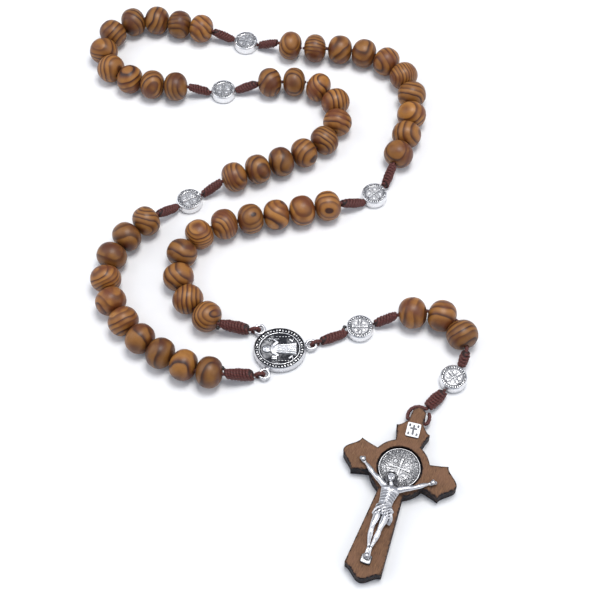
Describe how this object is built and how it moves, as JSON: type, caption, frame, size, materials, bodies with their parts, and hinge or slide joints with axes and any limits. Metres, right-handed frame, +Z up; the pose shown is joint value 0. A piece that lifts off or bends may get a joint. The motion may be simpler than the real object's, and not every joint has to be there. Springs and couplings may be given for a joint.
{
  "type": "rosary",
  "caption": "Rosary of round wooden beads on a knotted cord, with medal beads between the decades, an oval centre medal and a pendant wooden crucifix.",
  "frame": {"origin": "centre of the centre medal's back face, on the surface that the rosary lies on", "axes": "+Z up from that surface, +Y from the centre medal along the laid-out loop, +X towards the pendant"},
  "size_m": [0.1323, 0.2106, 0.0101],
  "materials": {
    "wood_bead": "satin",
    "cord": "matte",
    "bright_silver": "satin",
    "antique_silver": "satin",
    "corpus_silver": "satin",
    "crucifix_wood": "matte",
    "white_plate": "satin",
    "nail_metal": "satin"
  },
  "bodies": {
    "centre_medal": {"centre_medal": "antique_silver"},
    "left_strand": {"decade5_beads": "wood_bead", "decade4_beads": "wood_bead", "knot_centre_lower": "cord", "knot_medal4_before": "cord", "knot_medal4_after": "cord", "cord_left_strand": "cord"},
    "right_strand": {"decade1_beads": "wood_bead", "decade2_beads": "wood_bead", "knot_centre_upper": "cord", "knot_medal1_before": "cord", "knot_medal1_after": "cord", "cord_right_strand": "cord"},
    "top_arc": {"decade2_last_bead": "wood_bead", "decade3_beads": "wood_bead", "decade4_first_beads": "wood_bead", "knot_medal2_before": "cord", "knot_medal2_after": "cord", "knot_medal3_before": "cord", "knot_medal3_after": "cord", "cord_top_arc": "cord"},
    "pendant_link": {"knot_centre_pendant": "cord", "cord_pendant_link": "cord"},
    "pendant_cord": {"knot_medal5_after": "cord", "knot_medal6_before": "cord", "cord_pendant_beads": "cord"},
    "crucifix_link": {"knot_crucifix": "cord", "cord_crucifix_link": "cord"},
    "crucifix": {"crucifix_board": "crucifix_wood", "inlay_medal": "antique_silver", "title_plate": "white_plate", "corpus": "corpus_silver", "hand_nail_left": "nail_metal", "hand_nail_right": "nail_metal", "feet_nail": "nail_metal"},
    "medal_bead_1": {"medal_bead_1": "bright_silver"},
    "medal_bead_2": {"medal_bead_2": "bright_silver"},
    "medal_bead_3": {"medal_bead_3": "bright_silver"},
    "medal_bead_4": {"medal_bead_4": "bright_silver"},
    "medal_bead_5": {"medal_bead_5": "bright_silver"},
    "medal_bead_6": {"medal_bead_6": "bright_silver"},
    "pendant_bead_1": {"pendant_bead_1": "wood_bead"},
    "pendant_bead_2": {"pendant_bead_2": "wood_bead"},
    "pendant_bead_3": {"pendant_bead_3": "wood_bead"}
  },
  "joints": [
    {"name": "loop_swing", "type": "hinge", "parent": "centre_medal", "child": "left_strand", "pos_m": [-0.0045, -0.0084, 0.002], "axis": [0, 0, 1], "range_deg": [-15, 15]},
    {"name": "right_strand_swing", "type": "hinge", "parent": "centre_medal", "child": "right_strand", "pos_m": [-0.0064, 0.0071, 0.002], "axis": [0, 0, 1], "range_deg": [-15, 15]},
    {"name": "top_arc_turn", "type": "hinge", "parent": "left_strand", "child": "top_arc", "pos_m": [0.0071, 0.1036, 0.005], "axis": [0, 0, 1], "range_deg": [-15, 15]},
    {"name": "medal_1_turn", "type": "hinge", "parent": "right_strand", "child": "medal_bead_1", "pos_m": [0.03016, 0.05789, 0.0016], "axis": [0.7312, 0.6821, 0], "continuous": true},
    {"name": "medal_2_turn", "type": "hinge", "parent": "top_arc", "child": "medal_bead_2", "pos_m": [-0.01533, 0.12467, 0.0016], "axis": [0.9714, -0.2375, 0], "continuous": true},
    {"name": "medal_3_turn", "type": "hinge", "parent": "top_arc", "child": "medal_bead_3", "pos_m": [-0.0224, 0.10225, 0.0016], "axis": [-0.9981, -0.0617, 0], "continuous": true},
    {"name": "medal_4_turn", "type": "hinge", "parent": "left_strand", "child": "medal_bead_4", "pos_m": [-0.03155, 0.05577, 0.0016], "axis": [0.8436, 0.537, 0], "continuous": true},
    {"name": "pendant_swing", "type": "hinge", "parent": "centre_medal", "child": "pendant_link", "pos_m": [0.0098, 0.0018, 0.002], "axis": [0, 0, 1], "range_deg": [-20, 20]},
    {"name": "medal_5_turn", "type": "hinge", "parent": "pendant_link", "child": "medal_bead_5", "pos_m": [0.025, 0.0076, 0.0016], "axis": [0.9343, 0.3565, 0], "continuous": true},
    {"name": "pendant_beads_swing", "type": "hinge", "parent": "pendant_link", "child": "pendant_cord", "pos_m": [0.02911, 0.00917, 0.0016], "axis": [0, 0, 1], "range_deg": [-20, 20]},
    {"name": "pendant_bead_1_spin", "type": "hinge", "parent": "pendant_cord", "child": "pendant_bead_1", "pos_m": [0.04146, 0.01136, 0.005], "axis": [0.9887, 0.1501, 0], "continuous": true},
    {"name": "pendant_bead_2_spin", "type": "hinge", "parent": "pendant_cord", "child": "pendant_bead_2", "pos_m": [0.05062, 0.01029, 0.005], "axis": [0.9358, -0.3526, 0], "continuous": true},
    {"name": "pendant_bead_3_spin", "type": "hinge", "parent": "pendant_cord", "child": "pendant_bead_3", "pos_m": [0.05653, 0.00364, 0.005], "axis": [0.2483, -0.9687, 0], "continuous": true},
    {"name": "medal_6_turn", "type": "hinge", "parent": "pendant_cord", "child": "medal_bead_6", "pos_m": [0.05343, -0.00987, 0.0016], "axis": [-0.5669, -0.8238, 0], "continuous": true},
    {"name": "crucifix_swing", "type": "hinge", "parent": "pendant_cord", "child": "crucifix_link", "pos_m": [0.051, -0.0134, 0.0016], "axis": [0, 0, 1], "range_deg": [-25, 25]},
    {"name": "crucifix_tilt", "type": "hinge", "parent": "crucifix_link", "child": "crucifix", "pos_m": [0.04188, -0.0243, 0.0023], "axis": [-0.9397, 0.342, 0], "range_deg": [0, 20]}
  ],
  "couplings": [
    {"joint": "right_strand_swing", "follows": "loop_swing", "ratio": 1},
    {"joint": "top_arc_turn", "follows": "loop_swing", "ratio": -1}
  ]
}
